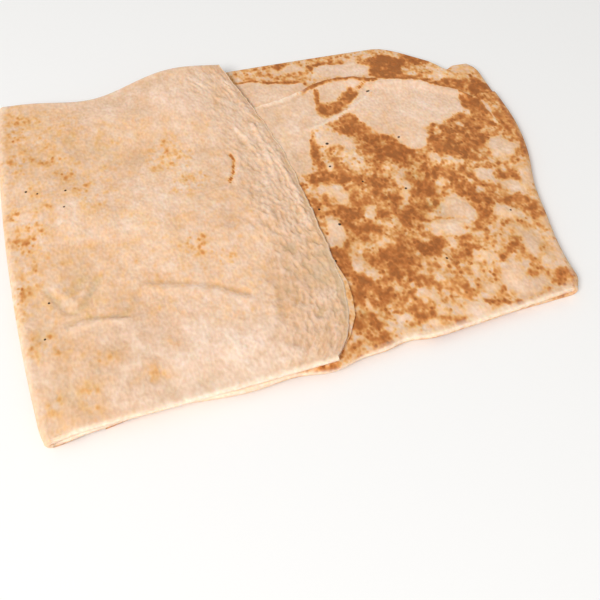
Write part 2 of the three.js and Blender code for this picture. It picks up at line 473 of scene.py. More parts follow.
showing = sum(shows(*middle_of(face.verts)) for face in sheet.faces)
print(showing, "faces on the stretches that show")

# %% Subdivide them
FINE_CUTS = 8  # new vertices on each edge
FOLDS_ACROSS = ("back fold", "front fold")
FOLDS_ALONG = ("left fold", "right fold")
NICKED = ("under", "base")


def sides_of(face):
    """The sides of the sheet that a face touches. The rim's wall touches both."""
    return {vert[out_from_middle] > 0 for vert in face.verts}


fine_edges = set()
for face in sheet.faces:
    turn, along, third, across = middle_of(face.verts)
    for edge in face.edges:
        start, end = edge.verts
        runs_along = start[line_across] == end[line_across]
        on_fold = third in FOLDS_ACROSS and runs_along or turn in FOLDS_ALONG and not runs_along
        through = start[out_from_middle] != end[out_from_middle]
        in_nick = third == "back fold" and runs_along and turn in NICKED
        outside = sides_of(face) != {False} and (on_fold or shows(turn, along, third, across))
        if not through and (outside or in_nick):
            fine_edges.add(edge)
bmesh.ops.subdivide_edges(sheet, edges=list(fine_edges), cuts=FINE_CUTS, use_grid_fill=True)
print("with fine faces:", len(sheet.verts), "vertices,", len(sheet.faces), "faces")

# %% [markdown]
# Fold the sheet
#
# Now each vertex is carried to its folded place, and the packet is set in the middle of the
# solid's box. The spots are kept in the order of the vertices, because the browning and the
# wrinkles ask the same questions: which layer is this, and how far is it from an edge.

# %% Carry every vertex to its place
spots = []
for vert in sheet.verts:
    on_along = place_on(ALONG, vert[line_along])
    on_across = place_on(ACROSS, vert[line_across])
    spot = folded(*on_along, *on_across, vert[out_from_middle])
    spots.append(spot)
    vert.co = Vector((spot.x, spot.y, spot.z)) * MM
low = Vector([min(vert.co[i] for vert in sheet.verts) for i in range(3)])
high = Vector([max(vert.co[i] for vert in sheet.verts) for i in range(3)])
cad_middle, middle = (cad_low + cad_high) / 2, (low + high) / 2
to_frame = Vector((cad_middle.x - middle.x, cad_middle.y - middle.y, cad_low.z - low.z))
bmesh.ops.translate(sheet, verts=sheet.verts, vec=to_frame)
bmesh.ops.recalc_face_normals(sheet, faces=sheet.faces)
sheet.normal_update()
print("packet", [round(size / MM, 1) for size in high - low], "mm")

# %% [markdown]
# Where the dough browned
#
# The bread touches the hot iron only in places. Where it lies close it toasts, and where a bubble
# lifts it off, an island of pale dough stays. A painted picture would fit only one size of bread,
# so the browning is a number for each vertex: 0 is pale and 1 is dark. It is laid on with a soft
# brush, in dabs and strokes, and the material adds everything finer. A dab is x, y, half its
# width, half its depth and its browning. A stroke is its width, its browning and the points of
# its path. All are in millimetres from the packet's middle, and noise makes their edges uneven.

# %% The brush's place, and its wandering
BRUSH_ZERO = Vector((125.4, 99.2, 0))  # the packet's middle, from its front left corner
WANDER = ((3.0, 10), (1.8, 4))  # how far an outline strays from an ellipse, and over which lengths
WANDER_SEEDS = (1.5, 8.5)  # slices of the noise, for the way along and the way across
STROKE_WANDER = 0.4  # a stroke strays only by this share
STRETCH = 0.75  # spots are longer from front to back, because the dough was stretched that way


def on_packet(spot):
    """Where a spot lies from the packet's middle."""
    return spot.x - BRUSH_ZERO.x, spot.y - BRUSH_ZERO.y


def wandered(x, y, share=1.0):
    """Shifts a place a little, so that no outline is a clean curve."""
    x_seed, y_seed = WANDER_SEEDS
    for reach, length in WANDER:
        x += share * reach * noise.noise((x / length, STRETCH * y / length, x_seed))
        y += share * reach / STRETCH * noise.noise((x / length, STRETCH * y / length, y_seed))
    return x, y


print("the packet's middle wanders to", [round(c, 1) for c in wandered(0, 0)])

# %% Dabs
DAB_SLANT = math.radians(-18)


def depth_in(x, y, dab):
    """How deep inside a dab a place is, in millimetres. It is negative outside."""
    dab_x, dab_y, wide, deep = dab[:4]
    dx, dy = x - dab_x, y - dab_y
    across = (dx * math.cos(DAB_SLANT) + dy * math.sin(DAB_SLANT)) / wide
    upward = (dy * math.cos(DAB_SLANT) - dx * math.sin(DAB_SLANT)) / deep
    return (1 - math.hypot(across, upward)) * min(wide, deep)


def dabbed(browning, x, y, dabs, soft):
    """Mixes some dabs with soft edges into the browning."""
    for dab in dabs:
        browning = mix(browning, dab[4], soft_step(depth_in(x, y, dab), -soft, soft))
    return browning


print("in the middle of a dab:", dabbed(0, 0, 0, [(0, 0, 5, 5, 0.8)], 2))

# %% Strokes and lines
STROKE_EDGE = (0.3, 1.2)  # a stroke fades between these shares of its width


def to_path(x, y, path):
    """Distance from a line through a few points."""
    best = math.inf
    here = Vector((x, y))
    for start, end in zip(path, path[1:]):
        start, end = Vector(start), Vector(end)
        side = end - start
        t = min(1.0, max(0.0, (here - start).dot(side) / side.length_squared))
        best = min(best, (here - start - side * t).length)
    return best


def brushed(browning, x, y, strokes):
    """Mixes some strokes into the browning."""
    for width, target, path in strokes:
        full, none = (share * width for share in STROKE_EDGE)
        browning = mix(browning, target, 1 - soft_step(to_path(x, y, path), full, none))
    return browning


def line_at(line, place):
    """The second coordinate of a line through a few points, where its first one is this."""
    for (first, second), (next_first, next_second) in zip(line, line[1:]):
        if place <= next_first:
            return mix(second, next_second, max(0.0, (place - first) / (next_first - first)))
    return line[-1][1]


print("2 mm beside a path:", to_path(5, 2, [(0, 0), (10, 0)]))

# %% [markdown]
# The base's hot side
#
# The base shows the side that lay on the iron. Brown patches run into each other, with pale
# islands where bubbles stood, and both are weaker towards the front right corner. One large patch
# at the back stayed bare, and beside it a corner of dough is folded over like a dog's ear, with
# brown lines of its own. All this was placed one by one, with the strongest marks brushed on last.

# %% Brown patches
BASE_BROWN = [
    (30, 2, 6, 5, 0.84), (44, -8, 6, 6, 0.80), (47, -17, 6, 3, 0.78), (28, -21, 6, 6, 0.84),
    (29, -35, 6, 4, 0.74), (20, -38, 4, 4, 0.72), (12, -43, 4, 4, 0.74), (13, -52, 4, 6, 0.76),
    (13, -68, 3, 8, 0.74), (18, -68, 4, 5, 0.72), (35, -54, 8, 5, 0.72), (37, -65, 5, 5, 0.72),
    (57, -53, 6, 5, 0.86), (48, -53, 6, 4, 0.70), (80, -23, 5, 6, 0.86), (67, -17, 4, 9, 0.78),
    (79, -10, 6, 3, 0.74), (93, 6, 9, 11, 0.82), (107, 7, 7, 9, 0.70), (116, 28, 8, 8, 0.82),
    (87, -43, 4, 6, 0.74), (87, -36, 5, 8, 0.68), (99, -38, 5, 3, 0.72), (107, -22, 5, 3, 0.78),
    (107, -36, 5, 3, 0.7), (70, -56, 5, 5, 0.68), (65, -62, 5, 5, 0.66), (26, -70, 6, 4, 0.72),
    (15, -86, 6, 3, 0.62), (38, -88, 5, 4, 0.64), (48, -94, 5, 4, 0.70), (65, 8, 8, 4, 0.82),
    (45, 34, 5, 7, 0.80), (52, 19, 3, 3, 0.74), (96, -82, 3, 3, 0.74), (102, -87, 4, 3, 0.58),
    (89, -65, 3, 4, 0.62), (82, -72, 4, 4, 0.50), (111, -47, 5, 4, 0.60), (-10, -101, 20, 6, 0.46),
]
print(len(BASE_BROWN), "brown patches on the base")

# %% Pale islands, and the bare patch
BASE_PALE = [
    (24, -7, 8, 5, 0.21), (18, -1, 5, 3, 0.30), (28, -13, 3, 4, 0.20), (16, -31, 6, 8, 0.19),
    (36, -25, 4, 6, 0.22), (41, -35, 4, 4, 0.33), (24, -43, 3, 4, 0.21), (34, -44, 3, 3, 0.32),
    (57, -16, 4, 6, 0.20), (57, -8, 3, 6, 0.32), (63, -35, 4, 3, 0.27), (62, -44, 5, 5, 0.20),
    (73, -34, 5, 6, 0.16), (78, -39, 5, 6, 0.16), (69, -45, 6, 5, 0.18), (65, -55, 3, 4, 0.21),
    (96, -19, 5, 5, 0.16), (98, -25, 3, 3, 0.20), (86, -7, 6, 3, 0.27), (78, -4, 3, 4, 0.21),
    (76, -19, 3, 4, 0.27), (115, -4, 7, 8, 0.16), (108, -6, 3, 4, 0.20), (109, -30, 8, 5, 0.20),
    (117, -26, 4, 8, 0.21), (96, -45, 7, 4, 0.19), (94, -56, 4, 4, 0.20), (98, -66, 5, 8, 0.16),
    (111, -56, 4, 4, 0.23), (108, -73, 4, 6, 0.21), (101, -77, 4, 5, 0.25), (82, -62, 3, 5, 0.28),
    (74, -65, 5, 4, 0.21), (68, -70, 3, 4, 0.21), (86, -76, 3, 4, 0.21), (83, -80, 5, 5, 0.18),
    (89, -88, 9, 5, 0.16), (70, -82, 3, 3, 0.20), (59, -92, 8, 4, 0.21), (70, -96, 7, 3, 0.21),
    (41, -93, 4, 3, 0.21), (46, -86, 4, 3, 0.22), (42, -79, 4, 3, 0.21), (53, -74, 4, 3, 0.29),
    (19, -54, 4, 5, 0.20), (23, -60, 4, 3, 0.20), (19, -48, 2, 3, 0.26), (16, -75, 3, 3, 0.21),
    (28, -86, 4, 3, 0.20), (22, -90, 5, 3, 0.22), (28, -95, 6, 3, 0.24), (57, -64, 3, 5, 0.25),
    (33, 27, 7, 6, 0.19), (41, 23, 5, 4, 0.21), (27, 9, 3, 4, 0.21), (42, 7, 5, 4, 0.31),
    (40, 16, 5, 4, 0.31), (55, 1, 6, 4, 0.32), (33, 36, 6, 4, 0.21), (28, 31, 4, 4, 0.20),
]
BARE_PATCH = [
    (73, 37, 21, 20, 0.15), (92, 38, 18, 16, 0.15), (102, 35, 7, 13, 0.15), (75, 16, 9, 8, 0.15),
    (86, 52, 18, 8, 0.15), (58, 44, 9, 6, 0.15),
]
print(len(BASE_PALE), "pale islands on the base")

# %% Lines on the base, and the dog-ear
BASE_STROKES = [
    (1.6, 0.80, [(46, 30), (51, 22), (55, 16), (60, 9)]),
    (2.2, 0.72, [(26, 34), (24, 27), (22, 18), (21, 10), (19, 4)]),
    (1.6, 0.66, [(12, 6), (16, 5), (20, 6)]),
    (1.1, 0.56, [(25, 16), (28, 21), (32, 20), (32, 15)]),
    (1.6, 0.76, [(124, 33), (124, 21), (123, 8)]),
    (0.9, 0.20, [(121, 32), (121, 22), (119, 12)]),
    (1.4, 0.70, [(112, 24), (117, 16), (120, 7)]),
    (1.8, 0.76, [(129, 25), (129, 13), (126, -1), (123, -13)]),
    (1.6, 0.68, [(65, -88), (70, -91), (76, -94), (79, -94)]),
    (1.0, 0.56, [(73, -75), (75, -80), (76, -85)]),
]
EAR_TONE = 0.14
EAR_LINE = [(4, 15), (22, 21), (37, 26), (43, 48), (54, 64), (61, 71)]  # y and x of its crease
EAR_START = (2, 12)  # y where it begins
EAR_SOFT = 1  # half the width of its soft edge
EAR_STROKES = [
    (1.5, 0.60, [(38, 65), (37, 57), (37, 53)]),
    (6.0, 0.92, [(39, 50), (41, 49), (45, 49)]),
    (3.6, 0.82, [(44, 49.5), (48.5, 51), (53.5, 56.5), (57, 61.5)]),
    (1.0, 0.66, [(60, 62.5), (66, 64)]),
]
print(len(BASE_STROKES) + len(EAR_STROKES), "lines on the base")

# %% Browning of the base
BASE_TONE = 0.60
FRONT_RIGHT_TONE = 0.35  # it browned less towards the front right corner
FRONT_RIGHT_SLANT = 0.8  # which is where x times this, less y, goes past these
FRONT_RIGHT_SPAN = (70, 140)
BROWN_SOFT, PALE_SOFT, BARE_SOFT = 2.2, 1.9, 1.2  # half the width of their soft edges
COVERED_TONE = 0.15  # it hardly browned where the flap covers it, up to these x
COVERED_SPAN = (-34, -20)
RIM_TOAST_AND_SHADOW = 1.0  # the top third's thin rim is darkest: partly toast, partly a painted shadow line
RIM_TOAST_AND_SHADOW_SPAN = (25, 33)  # from these x on
RIM_TOAST_AND_SHADOW_REACH = (3.4, 1.2)  # over the dog-ear and right of it
RIM_TOAST_AND_SHADOW_CHANGE = (70, 80)  # x where the one gives way to the other


def base_browning(x, y, from_rim):
    to_corner = soft_step(FRONT_RIGHT_SLANT * x - y, *FRONT_RIGHT_SPAN)
    tone = mix(BASE_TONE, FRONT_RIGHT_TONE, to_corner)
    dab_x, dab_y = wandered(x, y)
    tone = dabbed(tone, dab_x, dab_y, BASE_BROWN, BROWN_SOFT)
    tone = dabbed(tone, dab_x, dab_y, BASE_PALE, PALE_SOFT)
    x, y = wandered(x, y, STROKE_WANDER)
    tone = brushed(tone, x, y, BASE_STROKES)
    tone = dabbed(tone, dab_x, dab_y, BARE_PATCH, BARE_SOFT)
    in_ear = soft_step(line_at(EAR_LINE, y) - x, -EAR_SOFT, EAR_SOFT) * soft_step(y, *EAR_START)
    tone = mix(tone, brushed(EAR_TONE, x, y, EAR_STROKES), in_ear)
    tone = mix(COVERED_TONE, tone, soft_step(x, *COVERED_SPAN))
    reach = mix(*RIM_TOAST_AND_SHADOW_REACH, soft_step(x, *RIM_TOAST_AND_SHADOW_CHANGE))
    # a painted shadow line along the rim, on top of its toast
    rim_darkened = (1 - soft_step(from_rim, 0, reach)) * soft_step(x, *RIM_TOAST_AND_SHADOW_SPAN)
    return mix(tone, RIM_TOAST_AND_SHADOW, rim_darkened)


print("browning in the base's bare patch:", round(base_browning(80, 40, 30), 2))

# %% [markdown]
# The strip behind the base, and the flap
#
# Behind the top third's rim a strip of the next sheet shows, with a pale wedge beside the flap and
# dark patches at the right, which are partly brown toast and partly painted shade. Close behind the
# rim a painted shadow darkens it. The flap shows the side that lay away from the iron. It is pale
# all over, with freckles at the left and a few golden spots, and paler still near its rim. The same
# brush does both, with softer dabs on the flap.

# %% Browning of the strip behind the base
BACK_TONE = 0.34
# The darkest patches at the right are partly brown toast and partly painted shade.
BACK_DABS = [
    (83, 74, 9, 11, 1.0), (102, 76, 12, 5, 0.86), (106, 54, 13, 4, 0.96), (124, 44, 8, 5, 0.80),
    (74, 82, 4, 4, 0.80), (58, 79, 14, 6, 0.05), (121, 60, 7, 6, 0.26), (96, 67, 7, 4, 0.45),
    (31, 89, 9, 4, 0.15), (15, 96, 3, 3, 0.55), (26, 94, 3, 4, 0.60),
]
BACK_SOFT = 1.6
BACK_STROKES = [
    (2.0, 0.70, [(39, 79), (41, 84), (45, 88), (53, 88), (61, 86)]),
    (2.2, 0.46, [(-5, 97), (9, 91), (27, 84), (39, 80)]),
    (1.0, 0.66, [(-4, 91), (-2, 87), (7, 85), (23, 80), (35, 75)]),
    # painted shade: a dark band towards the back right corner
    (3.2, 0.80, [(85, 63), (100, 57), (108, 51), (120, 43), (128, 37)]),
]
WEDGE_LINE = [(-4, 88), (7, 85), (23, 80), (36, 74)]  # x and y of the line behind the pale wedge
WEDGE_TONE = 0.15
WEDGE_SOFT = 1.5
WEDGE_END = (33, 37)  # x where it ends
RIM_SHADE = (0.88, 2.0)  # painted shadow close behind the top third's rim: browning and reach
RIM_SHADE_SPAN = (30, 45)  # it starts between these x
BACK_COVERED_SPAN = (-14, -4)  # the flap covers the strip up to these x


def back_browning(x, y, behind):
    tone = dabbed(BACK_TONE, *wandered(x, y), BACK_DABS, BACK_SOFT)
    x, y = wandered(x, y, STROKE_WANDER)
    in_wedge = soft_step(line_at(WEDGE_LINE, x) - y, 0, WEDGE_SOFT) * (1 - soft_step(x, *WEDGE_END))
    tone = brushed(mix(tone, WEDGE_TONE, in_wedge), x, y, BACK_STROKES)
    # painted shadow close behind the top third's rim
    shade, reach = RIM_SHADE
    near_rim = (1 - soft_step(behind, 0, reach)) * soft_step(x, *RIM_SHADE_SPAN)
    tone = mix(tone, max(tone, shade), near_rim)
    return mix(COVERED_TONE, tone, soft_step(x, *BACK_COVERED_SPAN))


print(len(BACK_DABS), "patches on the strip behind the base")

# %% Browning of the flap
FLAP_TONE = 0.19
FRECKLED = [
    (-114, 49, 22, 54, 0.21), (-114, 87, 14, 12, 0.22), (-85, 34, 28, 22, 0.20),
    (-126, -30, 5, 28, 0.28), (-70, -80, 60, 20, 0.03), (-105, -84, 14, 10, 0.14),
    (-47, 30, 24, 32, 0.16), (-50, 84, 50, 14, 0.08), (-108, -62, 18, 12, 0.18),
]
FRECKLED_SOFT = 8
GOLDEN = [
    (-47, 38, 12, 12, 0.26), (-42, 15, 9, 9, 0.26), (-48, -24, 6, 6, 0.28), (-39, -33, 5, 5, 0.26),
    (-19, 55, 3, 3, 0.31), (-121, -84, 6, 4, 0.27), (-106, -83, 4, 6, 0.23),
    (-105, -92, 4, 3, 0.23), (-97, -69, 7, 4, 0.22), (-122, 4, 6, 4, 0.39), (-117, 74, 5, 6, 0.36),
    (-115, 86, 7, 5, 0.33), (-97, 40, 6, 4, 0.31), (-116, 10, 4, 3, 0.38), (-127, -22, 2, 4, 0.50),
    (-127, -34, 2, 4, 0.48), (-125, 20, 3, 5, 0.40), (-122, 56, 3, 4, 0.38),
    (-108, 66, 6, 5, 0.27), (-104, 52, 8, 4, 0.26), (-92, 30, 6, 5, 0.27), (-110, 24, 8, 5, 0.27),
    (-86, 18, 6, 5, 0.25), (-118, 58, 6, 5, 0.27), (-77, -82, 8, 4, 0.24), (-83, -85, 5, 4, 0.24),
    (-68, -69, 4, 5, 0.22), (-120, -58, 6, 8, 0.25),
]
GOLDEN_SOFT = 3
RIPPLED_TONE = 0.15  # near its rim it is evenly pale, and this ends between these distances
RIPPLED_REACH = (14, 36)
SLIT = [(0.6, 0.70, [(-18, 30), (-17.5, 25), (-20, 17), (-23, 11)])]


def flap_browning(x, y, inward):
    """The flap's browning at a place that is this far in from its loose rim."""
    tone = dabbed(FLAP_TONE, *wandered(x, y), FRECKLED, FRECKLED_SOFT)
    tone = dabbed(tone, *wandered(x, y), GOLDEN, GOLDEN_SOFT)
    tone = mix(RIPPLED_TONE, tone, soft_step(inward, *RIPPLED_REACH))
    return brushed(tone, x, y, SLIT)


print(len(GOLDEN), "golden spots on the flap")

# %% [markdown]
# Store the browning on the vertices
#
# Float layers of a bmesh become attributes of the mesh, which the material can read by name. A
# texture could carry the same numbers, but it would need a picture. Besides the browning there is
# "crest", which is high on the front folds and on thin rims, where the dough is stretched and
# stays pale. Part of that cream is a painted highlight.

# %% Which browning goes where
LIP_TONE = 0.27  # the flap's lowest sheet
HIDDEN_TONE = 0.38  # what doesn't show from above has soft toasted patches
HIDDEN_CHANGE = 0.45
HIDDEN_LENGTHS = (40, 40, 4)


def hidden_browning(x, y, z):
    place = [c / length for c, length in zip((x, y, z), HIDDEN_LENGTHS)]
    return HIDDEN_TONE + HIDDEN_CHANGE * noise.fractal(place, *ROUGH_NOISE)


def browning_at(spot, x, y):
    if spot.turn == "flap" and spot.third == "top third":
        return LIP_TONE
    if spot.turn in ("flap", "left fold"):
        return flap_browning(x, y, (spot.rim - spot.p) * FRONT_WIDTH)
    if spot.turn == "under" or spot.z <= STRIP:
        return hidden_browning(x, y, spot.z)
    from_rim = (top_rim(spot.p) - spot.q) * DEPTH
    if spot.third in ("top third", "front fold"):
        return base_browning(x, y, from_rim)
    return back_browning(x, y, -from_rim)


print("browning under the packet's middle:", round(hidden_browning(0, 0, 0), 2))

# %% How pale the folds are
FOLD_CREST = 0.3  # the left and back folds
RIGHT_FOLD_CREST = (0.3, 0.05)  # the right one is paler in front, up to these shares of the depth
RIGHT_FOLD_CHANGE = (0.05, 0.3)
UNDER_CREST = 0.15
LIP_TURN = (0.35, 0.35)  # how far round its front fold the flap's pale lip is, and its spread
BASE_LIP_TURN = (0.8, 0.5)  # and the base's, where a toasted gap shows above it too
BASE_LIP_SPREAD = (0.3, 0.18)
LIP_GAP = (-6, 18)  # place and spread of that gap, in millimetres


def base_lip(turned, x):
    """How pale the base's front fold is, at a share of its turn."""
    gap = bell(x, *LIP_GAP)
    return bell(turned, mix(*BASE_LIP_TURN, gap), mix(*BASE_LIP_SPREAD, gap))


def fold_crest(spot, x):
    """How pale a fold is, or the end turned under."""
    if spot.turn == "right fold":
        return mix(*RIGHT_FOLD_CREST, soft_step(spot.q, *RIGHT_FOLD_CHANGE))
    if spot.turn == "left fold" or spot.third == "back fold":
        return FOLD_CREST
    if spot.turn == "under":
        return UNDER_CREST
    return bell(spot.across, *LIP_TURN) if spot.turn == "flap" else base_lip(spot.across, x)


print("in the gap the front fold's upper edge is pale by", round(base_lip(1, LIP_GAP[0]), 2))

# %% How pale the rims and ridges are
RIM_CREST = 0.5  # the two loose rims on top are pale where they are thin, with a painted highlight
FLAP_RIM_CREST_REACH = 1.25
TOP_RIM_CREST_REACH = 2.5
TOP_RIM_CREST_END = (28, 36)  # the top third's rim is pale up to these x
LIP_CREST = 0.4  # the flap is also pale close behind its front fold
LIP_REACH = 1.6
BASE_LIP_REACH = (2.5, 5)  # and so is the base, further at its right end
BASE_LIP_CHANGE = (85, 100)  # x where this changes
# pale ridges on the base: pale dough with a painted highlight
RIDGES = [
    (1.6, 0.4, [(27, 37), (33, 39), (43, 43), (52, 47)]),
    (1.4, 0.25, [(52, 47), (62, 53), (71, 60)]),
]


def flap_crest(spot):
    at_rim = 1 - soft_step((spot.rim - spot.p) * FRONT_WIDTH, 0, FLAP_RIM_CREST_REACH)
    at_lip = 1 - soft_step(spot.q * DEPTH, 0, LIP_REACH)
    return max(RIM_CREST * at_rim, LIP_CREST * at_lip)


def base_crest(spot, x, y):
    if spot.q < 0.5:
        reach = mix(*BASE_LIP_REACH, soft_step(x, *BASE_LIP_CHANGE))
        return base_lip(1, x) * (1 - soft_step(spot.q * DEPTH, 0, reach))
    at_rim = 1 - soft_step((top_rim(spot.p) - spot.q) * DEPTH, 0, TOP_RIM_CREST_REACH)
    at_rim *= 1 - soft_step(x, *TOP_RIM_CREST_END)
    return max(RIM_CREST * at_rim, brushed(0, x, y, RIDGES))


def crest_at(spot, x, y):
    if spot.turn not in ("base", "flap") or spot.third in FOLDS_ACROSS:
        return fold_crest(spot, x)
    if spot.turn == "flap":
        return 0 if spot.third == "top third" else flap_crest(spot)
    return base_crest(spot, x, y) if spot.third == "top third" else 0


print(len(RIDGES), "pale ridges on the base")

# %% Store browning and crests
browning = sheet.verts.layers.float.new("browning")
crest = sheet.verts.layers.float.new("crest")
for vert, spot in zip(sheet.verts, spots):
    x, y = on_packet(spot)
    vert[browning] = browning_at(spot, x, y)
    vert[crest] = crest_at(spot, x, y)
tones = [vert[browning] for vert in sheet.verts]
print("browning from", round(min(tones), 2), "to", round(max(tones), 2))

# %% [markdown]
# Wrinkles, blisters and creases
#
# Baked dough isn't smooth. Near the flap's loose rim it dried first and shrank into short ripples
# that follow the rim, the pale islands are low bubbles, and some creases are left from folding. A
# sculptor would brush these on, and a displacement texture would need a picture of them. Here each
# gives a height in millimetres at a place, and the heights add up.

# %% Ripples along the flap's rim
RIPPLE = 0.6  # height of a ripple, with its width and length
RIPPLE_WIDTH, RIPPLE_LENGTH = 3.8, 7.5
RIPPLE_RIDGE, RIPPLE_SIDES = 0.6, 2.2  # the level of a ridge, and how steep its sides are
RIPPLE_BAND = (0.5, 3, 16, 42)  # they start, are full, fade and end this far from the rim
RIPPLE_BACK = 0.5  # they are lower towards the back, between these shares of the depth
RIPPLE_BACK_SPAN = (0.5, 0.8)
RIPPLE_NOISE = (0.7, 2.1, 3)
RIPPLE_SEED = 4.2


def ripples(spot, inward):
    """Short ridges along the flap's loose rim."""
    band = plateau(inward, *RIPPLE_BAND)
    if band == 0:
        return 0
    place = Vector((inward / RIPPLE_WIDTH, spot.q * DEPTH / RIPPLE_LENGTH, RIPPLE_SEED))
    band *= mix(1, RIPPLE_BACK, soft_step(spot.q, *RIPPLE_BACK_SPAN))
    beside_ridge = abs(noise.fractal(place, *RIPPLE_NOISE))
    return RIPPLE * band * (RIPPLE_RIDGE - RIPPLE_SIDES * beside_ridge)


print("ripples up to", RIPPLE_BAND[-1], "mm from the flap's rim")

# %% Creases
CREASES = {  # height, width and path
    "flap": [
        (-0.40, 0.9, [(-18, 30), (-17.5, 25), (-20, 17), (-23, 11)]),
        (0.45, 1.6, [(-14.5, 30), (-15.5, 22), (-20.5, 9)]),
        (
            -0.70,
            1.3,
            [(-115, -29), (-111, -37), (-108, -43), (-104, -44), (-100, -39), (-97, -34), (-93, -28)],
        ),
        (0.60, 1.6, [(-111, -28), (-107, -35), (-104, -39), (-101, -36), (-98, -30)]),
        (-0.60, 1.3, [(-108, -49), (-103, -47), (-97, -48), (-85, -51)]),
        (0.65, 1.8, [(-107, -52), (-97, -51.5), (-85, -54)]),
        (-0.50, 1.5, [(-85, -51), (-78, -42), (-75, -37)]),
        (-0.55, 1.6, [(-73, -36), (-64, -39), (-53, -43), (-43, -48), (-32, -56)]),
        (0.50, 2.4, [(-73, -40), (-64, -44), (-53, -48), (-43, -53), (-32, -61), (-24, -68)]),
        (0.40, 1.6, [(-33, -60), (-24, -53)]),
        (-0.40, 1.6, [(-18, -55), (-22, -73), (-32, -85), (-41, -90)]),
        (0.35, 2.0, [(-22, -55), (-26, -72), (-36, -83)]),
        (0.55, 1.2, [(-1, 49), (0, 35), (0, 21), (-1, 8)]),
        (0.50, 1.2, [(-10, 47), (-6, 36), (-4, 21), (-6, 4)]),
        (0.40, 1.1, [(4, 20), (6, 0), (5, -25)]),
        (-0.35, 3.0, [(-90, -10), (-78, -30), (-60, -38)]),
    ],
    "base": [
        (0.7, 1.6, [(26, 38), (33, 39), (43, 43), (52, 47), (62, 53), (71, 60)]),
        (-0.45, 0.9, [(50, 48), (57, 51), (66, 58)]),
        (0.5, 1.2, [(2, 64), (15, 64), (24, 65), (32, 68), (38, 70)]),
        (-0.4, 0.9, [(2, 61), (15, 61), (24, 62), (32, 65)]),
        (0.5, 1.1, [(122, 33), (124, 27), (123, 17)]),
        (0.5, 1.1, [(116, 30), (119, 20), (120, 10)]),
        (-0.3, 1.4, [(58, -86), (79, -92), (94, -92)]),
    ],
}
print(sum(len(creases) for creases in CREASES.values()), "creases")

# %% Height of the skin
PUCKER, PUCKER_LENGTH = 0.5, 16  # soft unevenness everywhere, with its length
PUCKER_NOISE = (0.7, 2.0, 3)
PIMPLE, PIMPLE_LENGTH = 0.12, 3.0
WARP, WARP_LENGTH = 0.5, 48  # and slow waves
BUBBLE = 0.35  # height of a pale island, which has soft edges
BUBBLE_EDGE = (-0.5, 3)
RIM_TAPER, RIM_TAPER_REACH = 0.7, 4  # the flap's sheet thins out towards its rim


def relief(spot, x, y):
    """Height of the skin over a smooth sheet. The third coordinates keep the noises apart."""
    height = PUCKER * noise.fractal(Vector((x, y, 40)) / PUCKER_LENGTH, *PUCKER_NOISE)
    height += PIMPLE * noise.noise(Vector((x, y, 9)) / PIMPLE_LENGTH)
    height += WARP * noise.noise(Vector((x, y, 22)) / WARP_LENGTH)
    if spot.turn == "flap":
        inward = (spot.rim - spot.p) * FRONT_WIDTH
        height += ripples(spot, inward) - RIM_TAPER * (1 - soft_step(inward, 0, RIM_TAPER_REACH))
    elif spot.third == "top third":
        deepest = max(depth_in(x, y, dab) for dab in BASE_PALE + BARE_PATCH)
        height += BUBBLE * soft_step(deepest, *BUBBLE_EDGE)
    if spot.third != "tucked third":
        for rise, width, path in CREASES[spot.turn]:
            height += rise * bell(to_path(x, y, path), 0, width)
    return height


middle_of_base = folded("base", 0.3, "top third", 0.5, SHEET / 2)
height = relief(middle_of_base, *on_packet(middle_of_base))
print("relief on the middle of the base", round(height, 2), "mm")

# %% [markdown]
# Move the outer skin
#
# A Displace modifier would move both faces of the sheet, and layers that lie 0.2 mm apart would
# meet. So only the vertices of the outer face move, along their normals, and the inner face stays.
# The relief fades out close to a fold and where another rim lies on the sheet. How far a place
# went down is kept as "hollow", because the material paints a shade into hollows, and a highlight
# on raised places.

# %% Heights along the normals
SKIN_LOW = -0.72  # the skin never sinks further than this into the sheet
LEAST_AT_FOLD = 0.25  # what is left of the relief on a fold, and the share where it is full again
FADE_AT_FOLD = 0.03
FADE_BY_FLAP = (0.005, 0.025)  # shares of the width, right of the flap's rim
FADE_BY_TOP = (0.002, 0.02)  # shares of the depth, behind the top third's rim

hollow = sheet.verts.layers.float.new("hollow")
moved = 0
for vert, spot in zip(sheet.verts, spots):
    if vert[out_from_middle] < 0 or not shows(spot.turn, spot.along, spot.third, spot.across):
        continue
    near_fold = min(spot.q, 1 - spot.q, spot.p, 1 - spot.p)
    strength = mix(LEAST_AT_FOLD, 1, soft_step(near_fold, 0, FADE_AT_FOLD))
    if spot.turn == "base":
        strength *= soft_step(spot.p - flap_rim(spot.q, "middle third"), *FADE_BY_FLAP)
    if spot.third == "tucked third":
        strength *= soft_step(spot.q - top_rim(spot.p), *FADE_BY_TOP)
    height = max(SKIN_LOW, relief(spot, *on_packet(spot))) * strength
    vert.co += vert.normal * height * MM
    vert[hollow] = -height
    moved += 1
print("relief on", moved, "vertices")

# %% [markdown]
# The UV map
#
# A baked picture of the bread needs a UV map. Smart UV Project would cut the sheet into many
# islands. The sheet as it lay before folding is already a map without seams, so the grid lines
# give it, with the stretches that show drawn larger. The inner face gets a narrow strip at the
# top, and the rim's wall lies just outside the outer face's edge.

# %% Places on the map
MAP_MARGIN = 0.012  # free space round the outer face and the inner one
WALL = 0.005  # width of the rim's wall on the map
OUTER_HEIGHT = 0.88  # the outer face fills the map up to here


def map_share(stretches, line):
    """How far along the map a grid line is."""
    done = 0.0
    for stretch in stretches:
        if line <= stretch.cells:
            return done + stretch.share * line / stretch.cells
        line -= stretch.cells
        done += stretch.share
    return done


def outward(line, last):
    """A step off the map's edge, for a line that lies on it."""
    return WALL * ((line >= last) - (line <= 0))


print("the flap starts at", round(map_share(ALONG, LAST_ALONG - ALONG[-1].cells), 2), "of the map")

